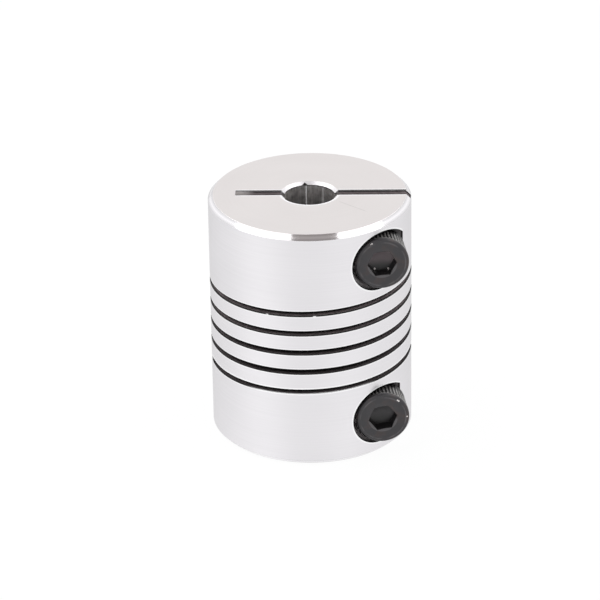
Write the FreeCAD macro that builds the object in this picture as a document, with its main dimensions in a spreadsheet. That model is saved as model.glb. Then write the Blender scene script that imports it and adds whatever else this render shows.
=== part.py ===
import FreeCAD, Part
import os
import re
import Sketcher
from FreeCAD import Placement, Rotation, Vector

# A one-piece helical beam coupling that joins two shafts end to end.
# It is turned from one aluminium bar: a hub at each end clamps a shaft, and a helical slot
# between the hubs leaves a coil that bends. Two black socket head cap screws close the hubs.
# The frame has +Z up along the shafts, its origin at the centre of the lower end face, and the
# screw heads towards -Y, 8 degrees round from it. The clamp slits open towards +X. Everything is
# in millimetres.

SIZES = {
    # The turned bar
    "outer_diameter": 20.0,
    "overall_length": 25.0,
    "end_chamfer": 0.5,
    # Each bore takes its own shaft, and a wider relief between the bores frees the coil
    "upper_bore_diameter": 5.0,
    "lower_bore_diameter": 5.0,
    "mouth_chamfer": 0.3,
    "relief_diameter": 9.0,
    "relief_margin": 0.55,
    # The helical slot runs from one hub to the other and starts just past the -X side
    "lower_hub_length": 7.75,
    "upper_hub_length": 7.7,
    "slot_width": 0.5,
    "slot_turns": 4.5,
    "slot_start_angle": 193.0,
    # The clamp slit of each hub runs from the +X rim through the bore and leaves a web at -X
    "slit_width": 1.0,
    "slit_web": 2.75,
    # Both clamp screws are turned about the shafts by the same few degrees from square to the slits.
    # Each lies in from the bar's side and from its own end face. Its flat seat is so far below the
    # outer surface, and the head is not yet tightened down onto it
    "screw_lean": 8.0,
    "screw_edge_distance": 4.12,
    "lower_screw_inset": 4.25,
    "upper_screw_inset": 3.93,
    "lower_seat_depth": 2.14,
    "upper_seat_depth": 2.67,
    "lower_head_lift": 0.19,
    "upper_head_lift": 0.54,
    # The socket head cap screws, M3 x 10, with the turn of each socket as it was tightened
    "thread_diameter": 3.0,
    "screw_length": 10.0,
    "tip_chamfer": 0.4,
    "head_diameter": 5.3,
    "head_height": 3.0,
    "head_round": 0.25,
    "socket_width": 2.5,
    "socket_depth": 1.4,
    "socket_cone_depth": 0.35,
    "socket_rim": 0.06,
    "socket_rim_depth": 0.15,
    "lower_socket_turn": 7.5,
    "upper_socket_turn": 2.5,
    # The clearances round a screw, each on the radius
    "head_gap": 0.35,
    "shank_gap": 0.2,
    "thread_gap": 0.03,
    # How far a cutter runs past the metal that it cuts
    "overrun": 1.0,
}

FORMULAS = {
    "outer_radius": "=outer_diameter / 2",
    "upper_bore_radius": "=upper_bore_diameter / 2",
    "lower_bore_radius": "=lower_bore_diameter / 2",
    "relief_radius": "=relief_diameter / 2",
    "head_radius": "=head_diameter / 2",
    "thread_radius": "=thread_diameter / 2",
    # The relief reaches a little way into each hub, past the ends of the slot
    "relief_floor": "=lower_hub_length - relief_margin",
    "relief_ceiling": "=overall_length - upper_hub_length + relief_margin",
    "slot_pitch": "=(overall_length - lower_hub_length - upper_hub_length) / slot_turns",
    # Each slit ends in the slot where that passes +X, which frees one arm of the hub
    "lower_slit_floor": "=lower_hub_length + slot_pitch * (1 - slot_start_angle / 360)",
    "upper_slit_floor": "=lower_slit_floor + slot_pitch * floor(slot_turns - 1 + slot_start_angle / 360)",
    "slit_reach": "=outer_radius - slit_web",
    # A screw's axis passes the bar's own axis at the offset, and passes the middle of the slits at
    # the crossing, both measured in the leaning frame
    "screw_offset": "=outer_radius - screw_edge_distance",
    "slit_crossing": "=screw_offset * tan(screw_lean)",
    "rim_distance": "=sqrt(outer_radius ^ 2 - screw_offset ^ 2)",
    "lower_seat_distance": "=rim_distance - lower_seat_depth",
    "upper_seat_distance": "=rim_distance - upper_seat_depth",
    "lower_screw_height": "=lower_screw_inset",
    "upper_screw_height": "=overall_length - upper_screw_inset",
    # The hexagon of the socket
    "socket_corner_radius": "=socket_width / sqrt(3)",
    "socket_rim_radius": "=socket_corner_radius + socket_rim",
}

NAMES = {**SIZES, **FORMULAS}
SCREW_NAMES = {"lower": "lower_clamp_screw", "upper": "upper_clamp_screw"}

doc = FreeCAD.newDocument("coupling")
sheet = doc.addObject("Spreadsheet::Sheet", "sizes")
for row, (name, value) in enumerate(NAMES.items(), start=1):
    sheet.set(f"A{row}", name)
    sheet.set(f"B{row}", str(value))
    sheet.setAlias(f"B{row}", name)
doc.recompute()


# Binds a property to a formula over the sheet's names
def bind(item, prop, formula):
    item.setExpression(prop, re.sub("[a-z_]+", lambda word: in_sheet(word[0]), formula))


def in_sheet(word):
    return f"{sheet.Name}.{word}" if word in NAMES else word


def new_body(label):
    body = doc.addObject("PartDesign::Body", label)
    body.Label = label
    return body


# Starts a sketch on one of the body's own planes, moved and turned by formulas
def new_sketch(body, label, plane, offsets):
    sketch = body.newObject("Sketcher::SketchObject", label)
    support = next(item for item in body.Origin.OriginFeatures if item.Role == plane)
    sketch.AttachmentSupport = [(support, "")]
    sketch.MapMode = "FlatFace"
    for prop, formula in offsets.items():
        bind(sketch, f"AttachmentOffset.{prop}", formula)
    return sketch


# Places one corner by its distances from the sketch's own axes, which are formulas
def place_corner(sketch, line, x, y):
    for kind, formula, axis in (("DistanceX", x, -2), ("DistanceY", y, -1)):
        if formula == "0":
            sketch.addConstraint(Sketcher.Constraint("PointOnObject", line, 1, axis))
        else:
            size = float(sheet.evalExpression(formula))
            number = sketch.addConstraint(Sketcher.Constraint(kind, -1, 1, line, 1, size))
            bind(sketch, f"Constraints[{number}]", formula)


# Draws a closed outline of straight lines through its corners
def draw_outline(sketch, corners):
    points = [Vector(*(float(sheet.evalExpression(formula)) for formula in corner)) for corner in corners]
    first = sketch.GeometryCount
    for start, end in zip(points, points[1:] + points[:1]):
        sketch.addGeometry(Part.LineSegment(start, end), False)
    for index, (x, y) in enumerate(corners):
        following = first + (index + 1) % len(corners)
        sketch.addConstraint(Sketcher.Constraint("Coincident", first + index, 2, following, 1))
        place_corner(sketch, first + index, x, y)


# Adds a feature made from a sketch, about the sketch's upright axis where it turns
def add_feature(body, kind, label, sketch, turned=False):
    feature = body.newObject(f"PartDesign::{kind}", label)
    feature.Profile = sketch
    if turned:
        feature.ReferenceAxis = (sketch, ["V_Axis"])
    return feature


# Stops if a cut left the body as it was
def check_cut(feature):
    doc.recompute()
    if feature.Shape.Volume > feature.BaseFeature.Shape.Volume - 0.01:
        raise ValueError(f"{feature.Label} cuts nothing")


# The bar as it leaves the lathe: outer surface, bores, relief and all their chamfers
def turn_blank(body):
    sketch = new_sketch(body, "blank_section", "XZ_Plane", {})
    draw_outline(sketch, [
        ("lower_bore_radius + mouth_chamfer", "0"),
        ("outer_radius - end_chamfer", "0"),
        ("outer_radius", "end_chamfer"),
        ("outer_radius", "overall_length - end_chamfer"),
        ("outer_radius - end_chamfer", "overall_length"),
        ("upper_bore_radius + mouth_chamfer", "overall_length"),
        ("upper_bore_radius", "overall_length - mouth_chamfer"),
        ("upper_bore_radius", "relief_ceiling"),
        ("relief_radius", "relief_ceiling"),
        ("relief_radius", "relief_floor"),
        ("lower_bore_radius", "relief_floor"),
        ("lower_bore_radius", "mouth_chamfer"),
    ])
    add_feature(body, "Revolution", "turned_blank", sketch, turned=True)
    doc.recompute()


# The stepped hole for a screw: counterbore, clearance hole up to the slit, and thread beyond it
def cut_screw_hole(body, hub):
    place = {
        "Base.x": "screw_offset * cos(screw_lean)",
        "Base.y": "screw_offset * sin(screw_lean)",
        "Base.z": f"{hub}_screw_height",
        "Rotation.Angle": "screw_lean",
    }
    sketch = new_sketch(body, f"{hub}_hole_section", "XY_Plane", place)
    head, shank, thread = "head_radius + head_gap", "thread_radius + shank_gap", "thread_radius + thread_gap"
    front, back = "-(outer_radius + overrun)", "outer_radius + overrun"
    draw_outline(sketch, [
        ("0", front),
        (head, front),
        (head, f"-{hub}_seat_distance"),
        (shank, f"-{hub}_seat_distance"),
        (shank, "-slit_crossing"),
        (thread, "-slit_crossing"),
        (thread, back),
        ("0", back),
    ])
    check_cut(add_feature(body, "Groove", f"{hub}_screw_hole", sketch, turned=True))


# The slit that lets one hub close on its shaft, straight down from the end face to the slot
def cut_slit(body, hub, face, floor):
    sketch = new_sketch(body, f"{hub}_slit_section", "XZ_Plane", {})
    left, right = "-slit_reach", "outer_radius + overrun"
    draw_outline(sketch, [(left, face), (right, face), (right, floor), (left, floor)])
    slit = add_feature(body, "Pocket", f"{hub}_slit", sketch)
    slit.SideType = "Symmetric"
    bind(slit, "Length", "slit_width")
    check_cut(slit)


# The helical slot, from outside the bar through to the relief, turned to its first angle
def cut_slot(body):
    sketch = new_sketch(body, "slot_section", "XZ_Plane", {"Rotation.Angle": "slot_start_angle"})
    sketch.AttachmentOffset = Placement(Vector(), Rotation(Vector(0, 1, 0), SIZES["slot_start_angle"]))
    inner, outer = "relief_radius - overrun", "outer_radius + overrun"
    low, high = "lower_hub_length - slot_width / 2", "lower_hub_length + slot_width / 2"
    draw_outline(sketch, [(inner, low), (outer, low), (outer, high), (inner, high)])
    slot = add_feature(body, "SubtractiveHelix", "helical_slot", sketch, turned=True)
    slot.Mode = "pitch-turns-angle"
    bind(slot, "Pitch", "slot_pitch")
    bind(slot, "Turns", "slot_turns")
    check_cut(slot)


# The coupling itself, one solid
def make_coupling_body():
    body = new_body("coupling_body")
    turn_blank(body)
    cut_screw_hole(body, "lower")
    cut_screw_hole(body, "upper")
    cut_slit(body, "lower", "-overrun", "lower_slit_floor")
    cut_slit(body, "upper", "overall_length + overrun", "upper_slit_floor")
    cut_slot(body)
    return body


# Finds the one circular edge of a feature with this radius at this height
def find_circle(feature, radius, height):
    for number, edge in enumerate(feature.Shape.Edges, start=1):
        if edge.Curve.TypeId == "Part::GeomCircle":
            off = abs(edge.Curve.Radius - radius) + abs(edge.Curve.Center.z - height)
            if off < 1e-6:
                return f"Edge{number}"
    raise ValueError(f"{feature.Label} has no such edge")


# One screw in its own frame, with the underside of its head at height 0 and its shank down
def make_clamp_screw(hub):
    body = new_body(SCREW_NAMES[hub])
    section = new_sketch(body, f"{hub}_screw_section", "XZ_Plane", {})
    draw_outline(section, [
        ("0", "head_height"),
        ("head_radius", "head_height"),
        ("head_radius", "0"),
        ("thread_radius", "0"),
        ("thread_radius", "tip_chamfer - screw_length"),
        ("thread_radius - tip_chamfer", "-screw_length"),
        ("0", "-screw_length"),
    ])
    blank = add_feature(body, "Revolution", f"{hub}_screw_blank", section, turned=True)
    doc.recompute()
    rounding = body.newObject("PartDesign::Fillet", f"{hub}_head_round")
    rounding.Base = (blank, [find_circle(blank, sheet.head_radius, sheet.head_height)])
    bind(rounding, "Radius", "head_round")
    doc.recompute()
    cut_socket(body, hub)
    out = f"({hub}_seat_distance + {hub}_head_lift)"
    across = f"screw_offset * cos(screw_lean) + {out} * sin(screw_lean)"
    along = f"screw_offset * sin(screw_lean) - {out} * cos(screw_lean)"
    turn = "rotation(vector(0; 0; 1); screw_lean) * rotation(vector(1; 0; 0); 90)"
    bind(body, "Placement", f"placement(vector({across}; {along}; {hub}_screw_height); {turn})")
    return body


# The hexagon socket in the head, with a bevelled rim and a shallow conical floor
def cut_socket(body, hub):
    place = {"Base.z": "head_height", "Rotation.Angle": f"{hub}_socket_turn"}
    hexagon = new_sketch(body, f"{hub}_socket_hexagon", "XY_Plane", place)
    half, full, flat = "socket_corner_radius / 2", "socket_corner_radius", "socket_width / 2"
    draw_outline(hexagon, [
        (full, "0"),
        (half, flat),
        (f"-{half}", flat),
        (f"-{full}", "0"),
        (f"-{half}", f"-{flat}"),
        (half, f"-{flat}"),
    ])
    socket = add_feature(body, "Pocket", f"{hub}_socket", hexagon)
    bind(socket, "Length", "socket_depth")
    check_cut(socket)
    bevel = new_sketch(body, f"{hub}_socket_bevel_section", "XZ_Plane", {"Base.y": "head_height"})
    draw_outline(bevel, [
        ("0", "0"),
        ("socket_rim_radius", "0"),
        (flat, "-socket_rim_depth"),
        (flat, "-socket_depth"),
        ("0", "-(socket_depth + socket_cone_depth)"),
    ])
    check_cut(add_feature(body, "Groove", f"{hub}_socket_bevel", bevel, turned=True))


# Stops if anything in the document failed, then writes each body to a file of its own
def write_parts(bodies):
    doc.recompute()
    for item in doc.Objects:
        if "Invalid" in item.State or "Error" in item.State:
            raise ValueError(f"{item.Label} failed")
    for body in bodies:
        if body.Shape.isNull() or not body.Shape.isValid() or len(body.Shape.Solids) != 1:
            raise ValueError(f"{body.Label} is not one sound solid")
    os.makedirs("parts", exist_ok=True)
    for body in bodies:
        body.Shape.exportStep(f"parts/{body.Label}.step")
        print(body.Label, round(body.Shape.Volume, 2), "mm3")


write_parts([make_coupling_body(), make_clamp_screw("lower"), make_clamp_screw("upper")])
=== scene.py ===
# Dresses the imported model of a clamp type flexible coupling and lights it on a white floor.
# Blender 4.5, metres, +Z up along the shafts, screw heads towards -Y, slits open towards +X.
# The dictionaries' sizes are in mm and their angles in degrees. Two numbers in brackets that stand
# for a soft edge are where it starts and where it is full.
import math
from types import SimpleNamespace
import bmesh
import bpy
import numpy as np
from mathutils import Matrix, Vector


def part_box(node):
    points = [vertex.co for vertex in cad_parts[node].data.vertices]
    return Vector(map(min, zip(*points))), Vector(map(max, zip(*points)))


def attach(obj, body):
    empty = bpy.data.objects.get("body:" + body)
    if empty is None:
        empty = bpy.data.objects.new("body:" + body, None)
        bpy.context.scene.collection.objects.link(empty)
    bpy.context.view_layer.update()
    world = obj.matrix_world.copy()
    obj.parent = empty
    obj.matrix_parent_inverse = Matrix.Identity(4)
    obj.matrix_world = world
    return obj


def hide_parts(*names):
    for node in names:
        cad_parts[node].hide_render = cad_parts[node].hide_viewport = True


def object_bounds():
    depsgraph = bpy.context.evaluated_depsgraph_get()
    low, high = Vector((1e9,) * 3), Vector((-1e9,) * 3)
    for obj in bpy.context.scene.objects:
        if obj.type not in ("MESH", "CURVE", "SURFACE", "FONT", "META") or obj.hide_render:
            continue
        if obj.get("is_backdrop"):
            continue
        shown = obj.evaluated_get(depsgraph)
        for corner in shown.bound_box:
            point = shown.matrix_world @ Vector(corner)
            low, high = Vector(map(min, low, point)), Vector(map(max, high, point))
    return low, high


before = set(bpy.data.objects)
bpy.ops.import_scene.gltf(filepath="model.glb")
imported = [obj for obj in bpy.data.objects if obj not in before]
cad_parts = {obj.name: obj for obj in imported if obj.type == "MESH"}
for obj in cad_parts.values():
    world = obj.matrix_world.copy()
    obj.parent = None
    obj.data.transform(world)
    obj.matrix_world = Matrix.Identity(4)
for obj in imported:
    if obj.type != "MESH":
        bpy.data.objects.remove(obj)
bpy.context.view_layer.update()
bpy.context.scene.view_settings.view_transform = "Standard"
mm = 0.001


# Shader maths: a wire wraps one output socket, and the usual operators add Math nodes
class Wire:
    def __init__(self, tree, socket=None):
        self.tree, self.socket = tree, socket

    # Adds any node: its settings first, then a value or a wire for each input it names
    def node(self, kind, settings={}, inputs={}, out=0):
        made = self.tree.nodes.new("ShaderNode" + kind)
        for name, value in settings.items():
            setattr(made, name, value)
        for name, value in inputs.items():
            socket = findSocket(made.inputs, name)
            if isinstance(value, Wire):
                self.tree.links.new(value.socket, socket)
            else:
                socket.default_value = value
        return Wire(self.tree, findSocket(made.outputs, out) if made.outputs else None)

    # Another output of the node that this wire comes from
    def output(self, name):
        return Wire(self.tree, findSocket(self.socket.node.outputs, name))

    def maths(self, operation, *values):
        inputs = {place: value for place, value in enumerate(values)}
        return self.node("Math", {"operation": operation}, inputs)

    def __add__(self, other): return self.maths("ADD", self, other)
    def __radd__(self, other): return self.maths("ADD", other, self)
    def __sub__(self, other): return self.maths("SUBTRACT", self, other)
    def __rsub__(self, other): return self.maths("SUBTRACT", other, self)
    def __mul__(self, other): return self.maths("MULTIPLY", self, other)
    def __rmul__(self, other): return self.maths("MULTIPLY", other, self)
    def __truediv__(self, other): return self.maths("DIVIDE", self, other)
    def __pow__(self, other): return self.maths("POWER", self, other)
    def __abs__(self): return self.maths("ABSOLUTE", self)

    def larger(self, other):
        return self.maths("MAXIMUM", self, other)

    def smaller(self, other):
        return self.maths("MINIMUM", self, other)

    # Runs smoothly from 0 at low to 1 at high, also where low is the larger
    def fade(self, low, high):
        return self.node("MapRange", {"interpolation_type": "SMOOTHSTEP"}, {
            "Value": self, "From Min": low, "From Max": high})

    # Takes the value 0..1 to low..high
    def spread(self, low, high):
        return self.node("MapRange", {}, {"Value": self, "To Min": low, "To Max": high})

    # The first colour where this is 0, the second where it is 1, and a mix between
    def tint(self, first, second):
        return self.node("Mix", {"data_type": "RGBA"}, {
            "Factor_Float": self, "A_Color": asColour(first), "B_Color": asColour(second)}, "Result_Color")

    # The colour, this many times as bright
    def brighten(self, colour):
        return self.node("VectorMath", {"operation": "SCALE"}, {"Vector": colour, "Scale": self})


def asColour(colour):
    return colour if isinstance(colour, Wire) else (*colour, 1.0)


def findSocket(sockets, key):
    if isinstance(key, int):
        return sockets[key]
    return next(socket for socket in sockets if key in (socket.identifier, socket.name))


# A new material and a wire to start its maths from
def newMaterial(name):
    material = bpy.data.materials.new(name)
    material.use_nodes = True
    material.node_tree.nodes.clear()
    return material, Wire(material.node_tree)


def showSurface(start, shader):
    start.node("OutputMaterial", {}, {"Surface": shader})


# Object coordinates in millimetres, moved so that centre is 0 and turned back round +Z by so many
# degrees, as three numbers
def pointInMillimetres(start, centre=(0.0, 0.0, 0.0), turn=0.0):
    place = start.node("TexCoord", {}, {}, "Object")
    scaled = start.node("Mapping", {"vector_type": "TEXTURE"}, {
        "Vector": place, "Location": [c * mm for c in centre],
        "Rotation": (0, 0, math.radians(turn)), "Scale": (mm, mm, mm)})
    split = scaled.node("SeparateXYZ", {}, {"Vector": scaled})
    return split.output("X"), split.output("Y"), split.output("Z")


# The square root of the sum of two squares
def lengthOf(across, along):
    return (across * across + along * along) ** 0.5


# Noise over a place of three numbers, each first taken so many times
def noise(start, place, scale, detail):
    x, y, z = (number * share for number, share in zip(place, scale))
    vector = start.node("CombineXYZ", {}, {"X": x, "Y": y, "Z": z})
    return start.node("TexNoise", {}, {
        "Vector": vector, "Scale": 1.0, "Detail": detail, "Roughness": 0.5})


# The surface's bump, in mm, on normals that are rounded over its edges
def bumpOn(start, rounded, height):
    return start.node("Bump", {}, {
        "Strength": 1.0, "Distance": 1.0, "Height": height * mm, "Normal": rounded})


# The camera that the photograph was taken with, found from the outline of the object
cameraView = {
    "azimuth": 1.085,  # degrees round from -Y towards +X
    "elevation": 26.552,
    "roll": -0.848,
    "distance": 354.1,  # from the point looked at
    "pointLookedAt": (0.0, 0.0, 12.5),
    "across": -1.0997,  # how far the view is shifted along its own width and height
    "above": 0.6549,
    "lens": 213.114,
    "clip": (0.01, 20),  # metres
}


def placeCamera(view):
    azimuth, elevation, roll = (math.radians(view[angle]) for angle in ("azimuth", "elevation", "roll"))
    back = Vector((
        math.sin(azimuth) * math.cos(elevation),
        -math.cos(azimuth) * math.cos(elevation),
        math.sin(elevation)))
    level = Vector((math.cos(azimuth), math.sin(azimuth), 0))
    upright = back.cross(level)
    right = math.cos(roll) * level + math.sin(roll) * upright
    up = math.cos(roll) * upright - math.sin(roll) * level
    looked = Vector(view["pointLookedAt"]) + view["across"] * right + view["above"] * up
    camera = bpy.data.objects.new("camera", bpy.data.cameras.new("camera"))
    camera.data.lens = view["lens"]
    camera.data.clip_start, camera.data.clip_end = view["clip"]
    turn = Matrix((right, up, back)).transposed().to_4x4()
    camera.matrix_world = Matrix.Translation((looked + view["distance"] * back) * mm) @ turn
    bpy.context.scene.collection.objects.link(camera)
    bpy.context.scene.camera = camera


placeCamera(cameraView)
print("camera placed")

# A pale floor, two soft boxes with a darker gap between them overhead, and a pale room round all
studio = {
    "floorWidth": 4.0,  # metres
    "floorColour": (0.86, 0.86, 0.86),
    "floorGlow": 0.92,  # the share of the floor that looks plain white to the camera
    "whiteStrength": 1.02,
    "floorGlowFrom": (8.0, 9.4),  # from the bar's axis: none under the part, so its bore stays dark
    "floorShine": 0.98,  # how bright metal sees the floor, before what the pools of light add
    "mirroredFrom": 5.5,  # a round bar bends what it mirrors as if it came from half way to its axis
    "pools": ((-58, 46, 0.13), (44, 40, 0.05)),  # degrees round from -Y, degrees wide, strength
    "poolBehind": (110, -0.08),  # degrees wide, strength
    "ceilingColour": (0.355, 0.33, 0.32),
    "ceilingHeight": (0.66, 0.80),  # on the unit sky
    "fillStrength": 0.62,
    "softBoxDistance": 460,
}
softBoxes = {
    # degrees from straight up over the part to each long side, shift and length along Y, and
    # brightness against white
    "leftSoftBox": {"sides": (-51.5, -15.8), "along": -10, "length": 640, "radiance": 1.6},
    "rightSoftBox": {"sides": (23.3, 50.5), "along": 20, "length": 640, "radiance": 1.6},
}
white = (1.0, 1.0, 1.0)


# 1 for what the camera sees itself, and 1 for what it sees by way of metal or glass
def seenDirectly(start):
    camera = start.node("LightPath", {}, {}, "Is Camera Ray")
    return camera, camera.output("Is Glossy Ray").larger(camera.output("Is Transmission Ray"))


# White to the camera, with pools of light that only shiny metal sees, and plain for the rest
def makeFloor(settings):
    half = settings["floorWidth"] / 2
    mesh = bpy.data.meshes.new("floor")
    corners = [(-half, -half, 0), (half, -half, 0), (half, half, 0), (-half, half, 0)]
    mesh.from_pydata(corners, [], [(0, 1, 2, 3)])
    floor = bpy.data.objects.new("floor", mesh)
    bpy.context.scene.collection.objects.link(floor)
    material, start = newMaterial("paleFloor")
    camera, shine = seenDirectly(start)
    x, y = pointInMillimetres(start)[:2]
    clear = lengthOf(x, y).fade(*settings["floorGlowFrom"])
    around = x.maths("ARCTAN2", x, -settings["mirroredFrom"] - y) * (180 / math.pi)
    strength = settings["floorShine"]
    for place, width, brightness in settings["pools"]:
        strength = abs(around - place).fade(width, 0) * brightness + strength
    width, brightness = settings["poolBehind"]
    strength = (180 - abs(around)).fade(width, 0) * brightness + strength
    strength = camera * (settings["whiteStrength"] - strength) + strength
    glow = start.node("Emission", {}, {"Color": asColour(white), "Strength": strength})
    plain = start.node("BsdfDiffuse", {}, {"Color": asColour(settings["floorColour"])})
    share = camera.larger(shine) * settings["floorGlow"] * clear
    showSurface(start, start.node("MixShader", {}, {0: share, 1: plain, 2: glow}))
    mesh.materials.append(material)
    floor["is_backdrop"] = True


# White to the camera, white with a darker ceiling to shiny metal, and a plain fill for the rest
def makeWorld(settings):
    world = bpy.data.worlds.new("paleRoom")
    world.use_nodes = True
    world.node_tree.nodes.clear()
    bpy.context.scene.world = world
    start = Wire(world.node_tree)
    camera, shine = seenDirectly(start)
    direction = start.node("TexCoord", {}, {}, "Generated")
    height = start.node("SeparateXYZ", {}, {"Vector": direction}, "Z")
    room = height.fade(*settings["ceilingHeight"]).tint(white, settings["ceilingColour"])
    colour = shine.tint([settings["fillStrength"]] * 3, room)
    background = start.node("Background", {}, {"Color": camera.tint(colour, white)})
    start.node("OutputWorld", {}, {"Surface": background})


# A long box with its length along Y, square to the line from the part's top to its middle
def makeSoftBox(name, box, distance):
    first, last = (math.radians(side) for side in box["sides"])
    lean, halfAngle = (first + last) / 2, (last - first) / 2
    light = bpy.data.lights.new(name, "AREA")
    light.shape = "RECTANGLE"
    light.size = 2 * distance * math.tan(halfAngle) * mm
    light.size_y = box["length"] * mm
    light.energy = box["radiance"] * math.pi * light.size * light.size_y
    lamp = bpy.data.objects.new(name, light)
    back = Vector((math.sin(lean), 0, math.cos(lean)))
    ahead = Vector((0, 1, 0))
    centre = Vector((0, box["along"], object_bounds()[1].z / mm)) + distance * back
    turn = Matrix((ahead.cross(back), ahead, back)).transposed().to_4x4()
    lamp.matrix_world = Matrix.Translation(centre * mm) @ turn
    lamp.visible_camera = False
    bpy.context.scene.collection.objects.link(lamp)


makeFloor(studio)
makeWorld(studio)
for name, box in softBoxes.items():
    makeSoftBox(name, box, studio["softBoxDistance"])
print("studio lit")

# Where the two clamp screws and their recesses lie in the bar
clampScrews = {
    "lean": 8.0,  # degrees that both are turned round from -Y towards +X
    "offset": 5.88,  # how far their axes pass from the bar's own
    "height": {"lower": 4.25, "upper": 21.07},
    "seat": {"lower": 5.948, "upper": 5.418},  # how far out along the screws the recesses' floors lie
    "underHead": {"lower": 6.138, "upper": 5.958},  # and the undersides of the heads
    "recessRadius": 3.0,
    "hubsMeet": (-0.1, 0.1),  # above the middle between the two screws
    "behindSeat": (-0.02, -0.04),  # out from the recess's floor
    "farOff": 20,  # how far from the axis a point behind that floor counts as lying
}
# The bar's other cuts, which its finish follows
bar = {
    "chamfer": 0.5,
    "boreRadius": 2.5,
    "mouthChamfer": 0.3,
    "slitWidth": 1.0,
    "slitEnd": -7.25,  # along X
    "slotWidth": 0.5,
    "slotStart": 193.0,  # degrees round from +X
    "slotHeights": (7.75, 17.3),  # of its middle, at its two ends
    "slotTurns": 4.5,
    "slotEnds": (0.012, 0.010),  # turns past either end where its lips are gone, and where full
}
# The turned bar's metal, with its colours as the metal reflects them
aluminium = {
    "sideColour": (0.818, 0.803, 0.825),
    "faceColour": (0.825, 0.79, 0.785),
    "boreColour": (0.74, 0.71, 0.70),
    "slotColour": (0.33, 0.285, 0.295),
    # painted shade: near black along the slot's and slit's edges, deep in their walls, at the recesses'
    # rims and in the nick
    "shadeColour": (0.020, 0.018, 0.018),
    # painted shade on the recesses' walls
    "recessColour": (0.13, 0.12, 0.125),
    "recessLitColour": (0.80, 0.75, 0.77),  # painted light on the lower left of the recesses' walls
    # painted highlights along the edges and cuts, and the bright lines drawn down the bore
    "highlightAndMarkColour": (0.97, 0.97, 0.98),
    "edgeTint": (0.90, 0.90, 0.90),  # how much of the light the metal returns at a glance
    "sideRoughness": 0.30,
    "faceRoughness": 0.36,
    "chamferRoughness": 0.12,
    "insideRoughness": 0.45,
    "mouthRoughness": 0.15,  # more than the side's
    "highlightRoughness": 0.25,  # more than the side's
    "grainRoughness": 0.04,  # more or less
    "dullness": 0.9,  # how far from metallic the cut walls look
    "edgeRound": 0.06,
    "edgeShows": (0.005, 0.12),  # where the painted edge highlight shows: by how far the rounded normal turns away, as 1 less its cosine
    # where each kind of surface is
    "closely": 0.01,  # half as wide as an edge that is drawn hard
    "faceDepth": (0.03, 0.01),
    "mouthReach": (0.10, 0.04),  # outside the mouth's circle
    "mouthDepth": (0.34, 0.29),
    "insideDepth": (0.02, 0.09),
    "outsideReach": (0.3, 0.2),  # in from the bar's side
    "highTurns": (10.5, 16.5),  # heights
    "lowestTurn": (9.8, 8.8),
    "lowestFront": (-7.5, -9.0),  # along Y
    "farHalf": (0, 1),  # along Y
    "nearHalf": (0.5, -0.5),
    # marks that the tool left: noise taken so many times, and how much it lightens or darkens
    "markPitch": 0.14,
    "markScale": 0.10,
    "markHeight": 0.0004,
    "markTone": (0.07, 0.04),  # on the side, and by how much less on the flat ends
    "broadScale": (0.12, 0.12, 0.25),
    "broadTone": (0.97, 1.03),
    "grainScale": (3.0, 3.0, 3.0),
    "chamferShadeAndHighlight": (-0.18, 0.40),  # painted shade at the chamfers' edges, and the painted highlight added half way across
    "scratch": ((2.88, -2.04), (5.55, -4.38)),  # from and to, across the top face
    "scratchWidth": (0.08, 0.02),
    "scratchEnds": (-0.1, 0.3),  # in from either end
    "scratchTone": 0.13,
    # painted lines along the helical slot, a painted shade line and then a painted highlight line, beyond
    # its edge
    "shadeLine": (0.065, 0.035),
    "highlightLine": (0.18, 0.11),
    "lineShift": (-0.045, 0.020),  # how much further down both reach, on the low and the high turns
    "lowestShift": 0.04,  # and what is added on the lowest turn
    "lowestClean": (0.1, 0.2),  # above the slot's middle, where that turn has no painted shade line
    # the same painted lines along the slit in the end face, and a painted highlight rim on the bore's near
    # side
    "slitShift": 0.06,  # how far towards +Y both lie off the slit's middle
    "slitShadeLine": (0.10, 0.06),
    "slitHighlightLine": (0.34, 0.16),
    "slitLineEnd": (-0.04, -0.01),  # past the slit's end
    "slitLineStart": (0.0, 0.04),  # outside the mouth's circle
    "boreRimHighlight": (0.30, 0.15),
    "burrs": ((-4.14, 16.40), (0.48, 16.50)),  # across and height, at the front
    "burrSize": (0.20, 0.12),
    "burrFront": (-5.0, -6.0),  # along Y
    # the screws' recesses
    "recessEdge": (0.045, 0.02),  # outside their circle
    "recessWallDepth": (0.08, 0.22),
    "recessHighlightLine": (0.22, 0.14),
    "recessLitSide": (0.6, 2.2),  # towards the lower left of their axis
    "recessLitDepth": (0.25, 0.75),
    # the bore, drawn along its length
    "boreReach": (0.4, 0.1),  # outside its radius
    "drawScale": (7.0, 7.0, 0.35),
    "drawTone": (0.45, 1.30),
    "mottleScale": (1.6, 1.6, 1.6),
    "mottleTone": (-0.55, 0.65),
    "litDepth": (0.30, 0.46),
    "litSlope": 0.50,  # how far down the light reaches for each mm between the mouth's two sides
    "litEdge": (0.05, 0.24),
    "litTone": (0.06, 1.14),  # the bore's own brightness, and what the light adds
    "drawnLines": ((-0.37, 0.08, 1.0), (1.29, 0.12, 0.45)),  # across, width and lightness
    "drawnCore": 0.4,  # the share of their width that is full
    "nickPlace": -0.50,  # across
    "nickSize": (0.32, 0.22),  # half its width, and how far out it reaches
    "nickEdge": (0.24, 0.16),
    # the walls that the slot's and slits' cutters left
    "wallScale": (1.8, 1.8, 5.0),
    "wallTone": (0.4, 1.6),
    "lowSlotTone": 0.45,  # painted shade: the slot's brightness low down against that high up
    # depths of the painted shade deep in the walls and at their rim
    "wallDeep": (0.45, 0.85),
    "wallShallow": (0.22, 0.12),
    # a painted highlight on the lowest turn's wall near its rim
    "lowestHighlightDepth": (0.20, 0.12),
    "lowestHighlightHeight": (7.0, 7.4),
    "slitEndFrom": (-5.2, -6.8),  # along X
    "slitEndHeight": (22, 23),
}


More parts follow.
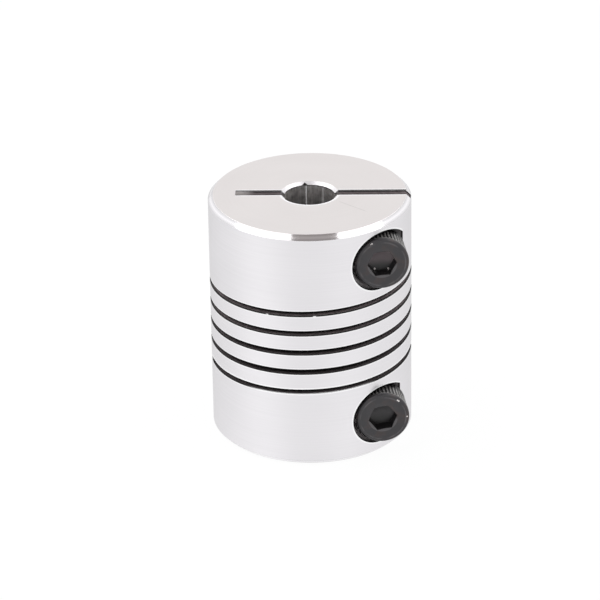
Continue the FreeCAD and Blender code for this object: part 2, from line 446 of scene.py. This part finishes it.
# How far a point of the bar's side lies above the middle of the helical slot's nearest turn, and 1
# where the slot has that turn. A turn's height is its number and the angle from the start, in
# turns, times the pitch.
def slotPlace(at):
    low, high = bar["slotHeights"]
    pitch = (high - low) / bar["slotTurns"]
    angle = at.y.maths("ARCTAN2", at.y, at.x) / (2 * math.pi) - bar["slotStart"] / 360
    angle = angle.maths("FRACT", angle)
    height = (at.z - low) / pitch - angle
    turn = height.maths("ROUND", height)
    along = turn + angle
    gone, full = bar["slotEnds"]
    present = along.fade(-gone, -full) * along.fade(bar["slotTurns"] + gone, bar["slotTurns"] + full)
    return (height - turn) * pitch, present


# How far a point lies from the axis of the nearer clamp screw, and how far to that axis's lower
# left. Points further in than the recess's floor are put far off.
def screwPlace(at):
    lean = math.radians(clampScrews["lean"])
    low, high = clampScrews["height"]["lower"], clampScrews["height"]["upper"]
    lowSeat, highSeat = clampScrews["seat"]["lower"], clampScrews["seat"]["upper"]
    upperHub = (at.z - (low + high) / 2).fade(*clampScrews["hubsMeet"])
    across = at.x * math.cos(lean) + at.y * math.sin(lean) - clampScrews["offset"]
    height = at.z - low - upperHub * (high - low)
    ahead = at.x * math.sin(lean) - at.y * math.cos(lean)
    seat = upperHub * (highSeat - lowSeat) + lowSeat
    behind = (ahead - seat).fade(*clampScrews["behindSeat"]) * clampScrews["farOff"]
    return lengthOf(across, height) + behind, (across + height) * -math.sqrt(0.5)


# Where a point of the bar lies: its place, its depth below the bar's outer surface, which is the
# least of those below the side, the nearer end and that end's chamfer, and 1 where it is on each
# kind of surface
def barSurface(start, finish):
    corner = Vector(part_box("coupling_body")[1]) / mm
    chamfer, mouth, closely = bar["chamfer"], bar["boreRadius"] + bar["mouthChamfer"], finish["closely"]
    at = SimpleNamespace(side=corner.x, top=corner.z, mouth=mouth)
    at.x, at.y, at.z = pointInMillimetres(start)
    at.radius = lengthOf(at.x, at.y)
    below = at.top / 2 - abs(at.z - at.top / 2)
    inner = at.side - chamfer
    at.onFace = below.fade(*finish["faceDepth"])
    at.onChamfer = below.fade(chamfer + closely, chamfer - closely) * (1 - at.onFace)
    at.onChamfer = at.onChamfer * at.radius.fade(inner - closely, inner + closely)
    at.acrossChamfer = 1 - abs(1 - below / chamfer * 2)
    at.depth = (at.side - at.radius).smaller(below).smaller((inner - at.radius + below) * math.sqrt(0.5))
    at.onMouth = (at.radius - mouth).fade(*finish["mouthReach"]) * below.fade(*finish["mouthDepth"])
    at.onMouth = at.onMouth * (at.radius - bar["boreRadius"]).fade(-closely, closely)
    at.inside = at.depth.fade(*finish["insideDepth"]) * (1 - at.onMouth)
    at.outside = (1 - at.inside) * (at.side - at.radius).fade(*finish["outsideReach"])
    at.inBore = (at.radius - bar["boreRadius"]).fade(*finish["boreReach"]) * at.inside
    at.highTurn = at.z.fade(*finish["highTurns"])
    at.lowest = at.z.fade(*finish["lowestTurn"])
    at.lowestFront = at.lowest * at.y.fade(*finish["lowestFront"])
    at.farHalf = at.y.fade(*finish["farHalf"])
    return at


# The painted shade line and the painted highlight line along the helical slot. The lowest turn has a
# clean upper edge, and no painted shade line at the front.
def slotShadeAndHighlight(at, finish):
    above, present = slotPlace(at)
    shift = at.highTurn.spread(*finish["lineShift"]) + at.lowest * finish["lowestShift"]
    beyond = abs(above + shift) - bar["slotWidth"] / 2
    present = present * at.outside
    clean = (at.lowest * above.fade(*finish["lowestClean"])).larger(at.lowestFront)
    dark = beyond.fade(*finish["shadeLine"]) * present * (1 - clean)
    return dark, beyond.fade(*finish["highlightLine"]) * present


# Painted shade and highlight lines along the end face's slit, and a painted highlight on the bore's near
# rim
def endShadeAndHighlight(at, finish):
    along = at.onFace * (at.x - bar["slitEnd"]).fade(*finish["slitLineEnd"])
    along = along * (at.radius - at.mouth).fade(*finish["slitLineStart"])
    beyond = abs(at.y - finish["slitShift"]) - bar["slitWidth"] / 2
    rim = (at.radius - at.mouth).fade(*finish["boreRimHighlight"]) * at.y.fade(*finish["nearHalf"]) * at.onFace
    dark = beyond.fade(*finish["slitShadeLine"]) * along
    return dark, (beyond.fade(*finish["slitHighlightLine"]) * along).larger(rim)


# 1 in a screw's recess, 1 on its wall below the rim's painted shade, the painted highlight line round
# it, and its colour: painted shade, with painted light on the lower left of the wall
def recessFinish(at, finish):
    off, lowerLeft = screwPlace(at)
    beyond = off - clampScrews["recessRadius"]
    inRecess = beyond.fade(*finish["recessEdge"])
    onWall = inRecess * at.depth.fade(*finish["recessWallDepth"])
    lit = lowerLeft.fade(*finish["recessLitSide"]) * at.depth.fade(*finish["recessLitDepth"])
    colour = onWall.tint(finish["shadeColour"], lit.tint(finish["recessColour"], finish["recessLitColour"]))
    return inRecess, onWall, beyond.fade(*finish["recessHighlightLine"]) * at.outside, colour


# 1 on the small burrs along the uppermost turn, painted near white as their highlight
def burrMask(at, finish):
    burrs = 0.0
    for across, height in finish["burrs"]:
        burrs = lengthOf(at.x - across, at.z - height).fade(*finish["burrSize"]).larger(burrs)
    return burrs * at.y.fade(*finish["burrFront"])


# How bright the turned metal is. The tool's path runs up the side and in across each end, and its
# marks lie side by side along it. The scratch lies where a point is close to the line between its
# two ends.
def turnedTone(start, at, finish):
    path = (at.x, at.y, at.z + at.radius)
    markScale = finish["markScale"]
    marks = noise(start, path, (markScale, markScale, 1 / finish["markPitch"]), detail=2.0)
    broad = noise(start, path, finish["broadScale"], detail=1.0)
    strong, less = finish["markTone"]
    tone = (marks - 0.5) * (strong - less * at.onFace) + broad.spread(*finish["broadTone"])
    atEdge, added = finish["chamferShadeAndHighlight"]
    # Painted shade at the chamfers' edges and a painted highlight half way across them
    tone = tone + at.onChamfer * (at.acrossChamfer * added + atEdge)
    first, last = (Vector(end) for end in finish["scratch"])
    length = (last - first).length
    step = (last - first) / length
    along = (at.x - first.x) * step.x + (at.y - first.y) * step.y
    off = abs((at.y - first.y) * step.x - (at.x - first.x) * step.y)
    scratch = off.fade(*finish["scratchWidth"]) * at.onFace
    scratch = scratch * along.fade(*finish["scratchEnds"]) * (length - along).fade(*finish["scratchEnds"])
    return tone - scratch * finish["scratchTone"], marks


# The bore's colour and the bright lines drawn down it. It is dark below where light that slants in
# over the mouth still reaches the far wall.
def boreFinish(start, at, finish):
    place = (at.x, at.y, at.z)
    tone = noise(start, place, finish["drawScale"], detail=2.0).spread(*finish["drawTone"])
    tone = tone + noise(start, place, finish["mottleScale"], detail=3.0).spread(*finish["mottleTone"])
    chord = (at.mouth ** 2 - at.x * at.x).larger(0.0) ** 0.5
    under = at.top - at.z
    lit = ((abs(at.y) + chord) * finish["litSlope"] - under).fade(*finish["litEdge"])
    lit = lit * under.fade(*finish["litDepth"])
    own, added = finish["litTone"]
    lines = 0.0
    for across, width, lightness in finish["drawnLines"]:
        lines = abs(at.x - across).fade(width, width * finish["drawnCore"]) * lightness + lines
    colour = (tone * (lit * added + own)).brighten(finish["boreColour"])
    return colour, lines * at.farHalf * at.inBore * lit


# 1 on the three-cornered nick in the far side of the bore's rim, painted near black as its shade
def nickMask(at, finish):
    halfWidth, reach = finish["nickSize"]
    out = abs(at.x - finish["nickPlace"]) * (reach / halfWidth) + at.radius - bar["boreRadius"]
    return out.fade(*finish["nickEdge"]) * at.farHalf * (1 - at.inBore)


# The slot's and slits' walls, with painted shade at their rim, deep in and low down, and a painted
# highlight along the lowest turn
def wallColour(start, at, finish):
    tone = noise(start, (at.x, at.y, at.z), finish["wallScale"], detail=2.0).spread(*finish["wallTone"])
    colour = (tone * at.highTurn.spread(finish["lowSlotTone"], 1.0)).brighten(finish["slotColour"])
    colour = at.depth.fade(*finish["wallDeep"]).tint(colour, finish["shadeColour"])
    colour = at.depth.fade(*finish["wallShallow"]).tint(colour, finish["shadeColour"])
    lowestHighlight = at.depth.fade(*finish["lowestHighlightDepth"]) * at.z.fade(*finish["lowestHighlightHeight"])
    colour = (lowestHighlight * at.lowestFront).tint(colour, finish["highlightAndMarkColour"])
    slitEnd = at.x.fade(*finish["slitEndFrom"]) * at.z.fade(*finish["slitEndHeight"])
    return slitEnd.tint(colour, finish["boreColour"])


def makeAluminium(finish):
    material, start = newMaterial("turnedAluminium")
    at = barSurface(start, finish)
    tone, marks = turnedTone(start, at, finish)
    grain = noise(start, (at.x, at.y, at.z), finish["grainScale"], detail=3.0)
    slotDark, slotBright = slotShadeAndHighlight(at, finish)
    endDark, endBright = endShadeAndHighlight(at, finish)
    inRecess, onWall, recessBright, recessColour = recessFinish(at, finish)
    burr = burrMask(at, finish)
    # Painted highlights along the slot, the slit, the bore's near rim, the recesses and the burrs
    bright = slotBright.larger(recessBright).larger(endBright).larger(burr)
    # Painted shade along the slot and the slit, in the screws' recesses and in the nick
    dark = (slotDark.larger(endDark) * (1 - burr)).larger(inRecess).larger(nickMask(at, finish))
    boreColour, lines = boreFinish(start, at, finish)
    metal = tone.brighten(at.onFace.tint(finish["sideColour"], finish["faceColour"]))
    metal = bright.tint(metal, finish["highlightAndMarkColour"])
    metal = dark.tint(metal, finish["shadeColour"])
    metal = at.inside.tint(metal, wallColour(start, at, finish))
    metal = at.inBore.tint(metal, boreColour)
    metal = lines.tint(metal, finish["highlightAndMarkColour"])
    metal = inRecess.tint(metal, recessColour)
    dull = (at.inside * (1 - at.inBore)).larger(lines) * (1 - inRecess) + onWall
    rounded = start.node("Bevel", {"samples": 8}, {"Radius": finish["edgeRound"] * mm})
    flat = start.node("NewGeometry", {}, {}, "Normal")
    level = start.node("VectorMath", {"operation": "DOT_PRODUCT"}, {0: rounded, 1: flat}, "Value")
    # A painted highlight along the edges, where the rounded normal turns away from the flat one
    edge = (1 - level).fade(*finish["edgeShows"]) * (1 - at.inside) * (1 - dark)
    metal = edge.tint(metal, finish["highlightAndMarkColour"])
    side, more = finish["sideRoughness"], finish["grainRoughness"]
    rough = at.onFace.spread(side, finish["faceRoughness"]) + grain.spread(-more, more)
    rough = rough + at.onChamfer * (finish["chamferRoughness"] - side)
    rough = rough + at.inside * (finish["insideRoughness"] - side)
    rough = rough + edge.larger(bright) * finish["highlightRoughness"] + at.onMouth * finish["mouthRoughness"]
    showSurface(start, start.node("BsdfPrincipled", {}, {
        "Base Color": metal, "Metallic": 1 - dull * finish["dullness"], "Roughness": rough,
        "Normal": bumpOn(start, rounded, marks * (1 - at.onChamfer) * finish["markHeight"]),
        "Specular Tint": asColour(finish["edgeTint"])}))
    return material


def dressBody():
    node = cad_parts["coupling_body"]
    node.data.materials.clear()
    node.data.materials.append(makeAluminium(aluminium))


dressBody()
print("coupling body dressed")

# The M3 socket head cap screws, each worked out from the underside of its head with its head up,
# and then laid in its hub
screw = {
    "length": 10.0,
    "headRadius": 2.65,
    "headHeight": 3.0,
    "headRound": 0.25,
    "roundSteps": 8,
    "seatChamfer": 0.08,
    "socketWidth": 2.5,
    "socketDepth": 1.4,
    "socketCone": 0.35,
    "socketTurn": {"lower": 7.5, "upper": 2.5},
    "rimWidth": 0.06,
    "rimDepth": 0.15,
    "ridges": 44,
    "samplesPerRidge": 6,
    "ridgeDepth": 0.09,
    "ridgeShape": (1.5, 0.25),  # how steep, and how much of it is cut off flat
    "grip": (0.20, 0.30, 2.42, 2.54),  # heights where the ridges start, are full, start to end, end
    "threadPitch": 0.5,
    "threadDepth": 0.307,
    "threadCrest": 1.48,
    "threadSamples": 66,
    # shares of the pitch where the crest ends, the root starts and ends, and the crest starts again
    "threadCorners": (0.0625, 0.375, 0.625, 0.9375),
    "threadFrom": 0.01,  # below the head
    "tipChamfer": 0.4,
}


# The thread's radius at a height: flat crests an eighth of the pitch wide, flat roots a quarter,
# and straight flanks between them, turned round the axis by one pitch for each turn
def threadRadius(size, angle, height):
    phase = (height / size["threadPitch"] - angle / (2 * np.pi)) % 1.0
    crest = size["threadCrest"]
    root = crest - size["threadDepth"]
    return np.interp(phase, [0, *size["threadCorners"], 1], [crest, crest, root, root, crest, crest])


# Rows of points that follow the thread, one for each of its corners in a pitch: one row a turn
# further on is the same row again, and heights outside the given ends are drawn back to them
def threadRows(size, low, high):
    angle = 2 * np.pi * np.arange(size["threadSamples"]) / size["threadSamples"]
    pitch = size["threadPitch"]
    spare = 2
    first, last = math.floor(low / pitch) - spare, math.ceil(high / pitch) + spare
    row = (first + np.arange(last - first)[:, None] + np.array(size["threadCorners"])[None, :]).ravel()
    height = np.clip(pitch * (row[:, None] + angle[None, :] / (2 * np.pi)), low, high)
    radius = threadRadius(size, angle[None, :], height)
    return np.stack([radius * np.cos(angle), radius * np.sin(angle), height], axis=-1)


# Faces between a grid's rows, where the last column meets the first one so many rows further on
def gridFaces(numbers, shift=0):
    follow = np.roll(numbers, -1, axis=1)
    if shift:
        follow[:-shift, -1] = numbers[shift:, 0]
        numbers, follow = numbers[:-shift], follow[:-shift]
    quads = np.stack([numbers[:-1], follow[:-1], follow[1:], numbers[1:]], axis=-1)
    return quads.reshape(-1, 4).tolist()


# Faces from a ring to one with fewer points, each of which takes an equal share of the first ring
def stepFaces(fine, coarse):
    share = len(fine) // len(coarse)
    faces = []
    for place, point in enumerate(coarse):
        span = [fine[(place * share + step) % len(fine)] for step in range(share + 1)]
        faces += [(point, here, there) for here, there in zip(span, span[1:])]
        faces.append((point, span[-1], coarse[(place + 1) % len(coarse)]))
    return faces


# Faces from a ring to one point in its middle
def fanFaces(ring, middle):
    return [(middle, here, there) for here, there in zip(ring, np.roll(ring, -1))]


# Puts a grid of points at the end of the list, and returns the number of each in that grid
def addRings(points, rings):
    start = sum(len(block) for block in points)
    points.append(rings.reshape(-1, 3))
    return start + np.arange(rings.shape[0] * rings.shape[1]).reshape(rings.shape[:2])


# The same for one point on the screw's axis
def addMiddle(points, height):
    return addRings(points, np.array([[[0.0, 0.0, height]]]))[0, 0]


# Makes the mesh: equal points become one, normals face out, edges over the angle stay sharp
def finishMesh(name, points, faces, sharpAngle=32.0, sameWithin=0.0002, flatWithin=0.00001):
    mesh = bpy.data.meshes.new(name)
    mesh.from_pydata(points.tolist(), [], [tuple(int(i) for i in face) for face in faces])
    work = bmesh.new()
    work.from_mesh(mesh)
    bmesh.ops.remove_doubles(work, verts=work.verts, dist=sameWithin * mm)
    bmesh.ops.dissolve_degenerate(work, edges=work.edges, dist=flatWithin * mm)
    bmesh.ops.recalc_face_normals(work, faces=work.faces)
    openEdges = sum(not edge.is_manifold for edge in work.edges)
    work.to_mesh(mesh)
    work.free()
    mesh.shade_smooth()
    mesh.set_sharp_from_angle(angle=math.radians(sharpAngle))
    piece = bpy.data.objects.new(name, mesh)
    bpy.context.scene.collection.objects.link(piece)
    print(name, len(mesh.polygons), "faces,", openEdges, "open edges")
    return piece


# The radius of the socket's bevelled rim, just outside the hexagon's corners
def rimRadius(size):
    return size["socketWidth"] / 2 / math.cos(math.pi / 6) + size["rimWidth"]


# The head's rings from the middle of the socket outwards and down to the seat, as radius and
# height. The hexagon's radius is half its width over the cosine of the angle from the middle of
# each flat. The ridges of the grip follow a three-cornered wave, made steeper and cut off flat.
def headRings(size, turn):
    count = size["ridges"] * size["samplesPerRidge"]
    angle = 2 * np.pi * np.arange(count) / count
    level = np.ones(count)
    top, half, outer = size["headHeight"], size["socketWidth"] / 2, size["headRadius"]
    hexagon = half / np.cos(angle % (np.pi / 3) - np.pi / 6)
    rim = rimRadius(size)
    bevel = size["rimDepth"] * (rim - hexagon) / (rim - half)
    floor = top - size["socketDepth"]
    rings = [(half / 2 * level, (floor - size["socketCone"] / 2) * level),
             (half * level, floor * level),
             (hexagon, floor * level),
             (hexagon, top - bevel),
             (rim * level, top * level)]
    bend = size["headRound"]
    for part in np.linspace(0, np.pi / 2, size["roundSteps"]):
        rings.append(((outer - bend + bend * math.sin(part)) * level,
                      (top - bend * (1 - math.cos(part))) * level))
    steep, cut = size["ridgeShape"]
    wave = np.abs((angle / (2 * np.pi) * size["ridges"]) % 1.0 - 0.5) * 2
    valley = np.clip(steep * wave - cut, 0, 1) * size["ridgeDepth"]
    for height, share in zip(reversed(size["grip"]), (0, 1, 1, 0)):
        rings.append((outer - share * valley, height * level))
    rings.append((outer * level, size["seatChamfer"] * level))
    rings.append(((outer - size["seatChamfer"]) * level, np.zeros(count)))
    turned = angle + math.radians(turn)
    return np.array([np.stack([r * np.cos(turned), r * np.sin(turned), h], axis=-1) for r, h in rings])


# The screws' own axes as the part sees them: across, up, and out along the head
def screwAxes():
    lean = math.radians(clampScrews["lean"])
    return np.array([(math.cos(lean), math.sin(lean), 0), (0, 0, 1), (math.sin(lean), -math.cos(lean), 0)])


# The thread's rows, drawn in over the chamfer of the tip: there a point's radius is at most the
# chamfer's, which grows by as much as the height
def shankRows(size):
    rows = threadRows(size, -size["length"], -size["threadFrom"])
    fromTip = np.clip(rows[..., 2:] + size["length"], 0, None)
    limit = size["threadCrest"] - size["tipChamfer"] + fromTip
    radius = np.linalg.norm(rows[..., :2], axis=-1, keepdims=True)
    rows[..., :2] *= np.minimum(1.0, limit / radius)
    return rows


def makeScrew(hub, size):
    axes = screwAxes()
    place = (clampScrews["offset"], clampScrews["height"][hub], clampScrews["underHead"][hub])
    underHead = np.array(place) @ axes
    points, faces = [], []
    head = addRings(points, headRings(size, size["socketTurn"][hub]))
    faces += gridFaces(head)
    bottom = size["headHeight"] - size["socketDepth"] - size["socketCone"]
    faces += fanFaces(head[0], addMiddle(points, bottom))
    thread = addRings(points, shankRows(size))
    faces += gridFaces(thread, len(size["threadCorners"]))
    faces += stepFaces(head[-1], thread[-1])
    faces += fanFaces(thread[0], addMiddle(points, -size["length"]))
    piece = finishMesh(f"{hub}_screw", (np.concatenate(points) @ axes + underHead) * mm, faces)
    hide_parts(f"{hub}_clamp_screw")
    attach(piece, "root")
    piece.data.materials.append(makeBlackOxide(hub, underHead, size, blackOxide))


# The screws' black finish. It is a little brown in places and rubbed to bare steel along the ridges
# of the grip, with painted shade in the grip's valleys, near the underside and on the socket's walls,
# and painted light, highlights and glints in the socket and on the face. Heights are from the
# underside of the head, depths below its face.
blackOxide = {
    "colour": (0.030, 0.028, 0.032),
    "brownColour": (0.050, 0.034, 0.032),
    "screwShadeColour": (0.010, 0.009, 0.010),  # painted shade down in the grip, near the underside and on the socket's walls
    "steelColour": (0.55, 0.54, 0.52),
    # painted light on the upper part of the socket's floor, brighter in the upper screw
    "floorColour": {"lower": (0.050, 0.046, 0.050), "upper": (0.160, 0.125, 0.135)},
    # painted highlight on the lower side of the socket's rim and on the ring near the face's edge
    "rimHighlightColour": (0.085, 0.080, 0.085),
    "glintColour": (0.85, 0.80, 0.78),
    "roughness": 0.34,
    "grainRoughness": 0.08,  # more or less
    "patchRoughness": 0.06,
    "grainHeight": 0.0015,
    "ringHeight": 0.0010,
    "edgeRound": 0.05,
    "patchScale": (0.9, 0.9, 0.9),
    "grainScale": (9.0, 9.0, 9.0),
    "brownPatches": (0.45, 0.70),
    "brownShare": 0.8,
    # bare steel on the grip's ridges: height, depth, how far in from the head's radius, and grain
    "bareHeight": (0.9, 1.3),
    "bareDepth": (0.35, 0.45),
    "bareReach": (0.05, 0.02),
    "bareGrain": (0.38, 0.62),
    "bareShare": 0.8,
    # painted shade in the grip's valleys, between two distances in from the head's radius, and all
    # along it near the underside
    "shadeReach": (0.03, 0.07),
    "shadeInner": (0.3, 0.2),
    "shadeDepth": (0.3, 0.4),
    "shadeHeight": (1.1, 0.8),
    # the socket: distances out from its rim, past the rim's depth, past the floor, and heights
    # across the screw from its axis
    "socketReach": (0.0, -0.05),
    "socketBelowRim": (0.0, 0.1),
    "floorFrom": (-0.05, -0.01),
    "floorLit": (-0.9, -0.1),
    "rimReach": (0.03, 0.0),
    "rimDepth": (0.01, 0.03),
    "rimLit": (0.1, -0.4),
    # a painted highlight in a ring near the face's edge, here and there along it
    "faceRing": 2.28,
    "ringWidth": (0.10, 0.03),
    "ringDepth": (0.05, 0.02),
    "ringPatches": (0.35, 0.60),
    # painted glints in the socket's lower corners and along the face's edge: across, height, width
    "glints": {
        "lower": ((1.44, 1.90, 0.10), (1.56, 1.80, 0.10), (2.40, 0.02, 0.09)),
        "upper": ((-0.56, -1.12, 0.13), (0.76, -1.15, 0.10), (-1.0, 2.24, 0.08), (-1.12, 2.17, 0.05)),
    },
    "glintCore": 0.6,  # the share of their width that is full
    "glintInSocket": (-0.3, -0.2),  # past the floor
    "glintOnEdge": (2.2, 2.3),
}


def makeBlackOxide(hub, underHead, size, finish):
    material, start = newMaterial(f"{hub}BlackOxide")
    x, inward, z = pointInMillimetres(start, underHead, clampScrews["lean"])
    height = -1 * inward
    depth = size["headHeight"] - height
    radius = lengthOf(x, z)
    within = size["headRadius"] - radius
    pastRim = radius - rimRadius(size)
    pastFloor = depth - size["socketDepth"]
    patches = noise(start, (x, inward, z), finish["patchScale"], detail=2.0)
    grain = noise(start, (x, inward, z), finish["grainScale"], detail=3.0)
    rings = noise(start, (radius, inward, 0.0), finish["grainScale"], detail=1.0)
    worn = within.fade(*finish["bareReach"]) * height.fade(*finish["bareHeight"])
    worn = worn * depth.fade(*finish["bareDepth"]) * grain.fade(*finish["bareGrain"]) * finish["bareShare"]
    inSocket = pastRim.fade(*finish["socketReach"])
    inSocket = inSocket * (depth - size["rimDepth"]).fade(*finish["socketBelowRim"])
    # Painted light on the socket floor's upper part; its lower part keeps the painted shade
    onFloor = inSocket * pastFloor.fade(*finish["floorFrom"]) * z.fade(*finish["floorLit"])
    onRim = pastRim.fade(*finish["rimReach"]) * depth.fade(*finish["rimDepth"])
    onRim = onRim * (1 - inSocket) * z.fade(*finish["rimLit"])
    onRing = abs(radius - finish["faceRing"]).fade(*finish["ringWidth"]) * depth.fade(*finish["ringDepth"])
    onRing = onRing * patches.fade(*finish["ringPatches"])
    headShade = within.fade(*finish["shadeReach"]) * within.fade(*finish["shadeInner"])
    headShade = (headShade * depth.fade(*finish["shadeDepth"])).larger(height.fade(*finish["shadeHeight"]))
    brown = patches.fade(*finish["brownPatches"]) * finish["brownShare"]
    colour = brown.tint(finish["colour"], finish["brownColour"])
    colour = onRing.tint(colour, finish["rimHighlightColour"])
    colour = headShade.tint(colour, finish["screwShadeColour"])
    colour = inSocket.tint(colour, finish["screwShadeColour"])
    colour = onFloor.tint(colour, finish["floorColour"][hub])
    colour = onRim.tint(colour, finish["rimHighlightColour"])
    glintShows = pastFloor.fade(*finish["glintInSocket"]).larger(radius.fade(*finish["glintOnEdge"]))
    # Painted glints in the socket's lower corners and along the face's edge
    for across, up, width in finish["glints"][hub]:
        glint = lengthOf(x - across, z - up).fade(width, width * finish["glintCore"]) * glintShows
        colour = glint.tint(colour, finish["glintColour"])
    colour = worn.tint(colour, finish["steelColour"])
    grainMore, patchMore = finish["grainRoughness"], finish["patchRoughness"]
    rough = grain.spread(-grainMore, grainMore) + patches.spread(-patchMore, patchMore)
    rough = rough + finish["roughness"]
    rounded = start.node("Bevel", {"samples": 4}, {"Radius": finish["edgeRound"] * mm})
    bump = bumpOn(start, rounded, grain * finish["grainHeight"] + rings * finish["ringHeight"])
    showSurface(start, start.node("BsdfPrincipled", {}, {
        "Base Color": colour, "Metallic": worn, "Roughness": rough, "Normal": bump}))
    return material


for hub in ("lower", "upper"):
    makeScrew(hub, screw)
print("screws made")
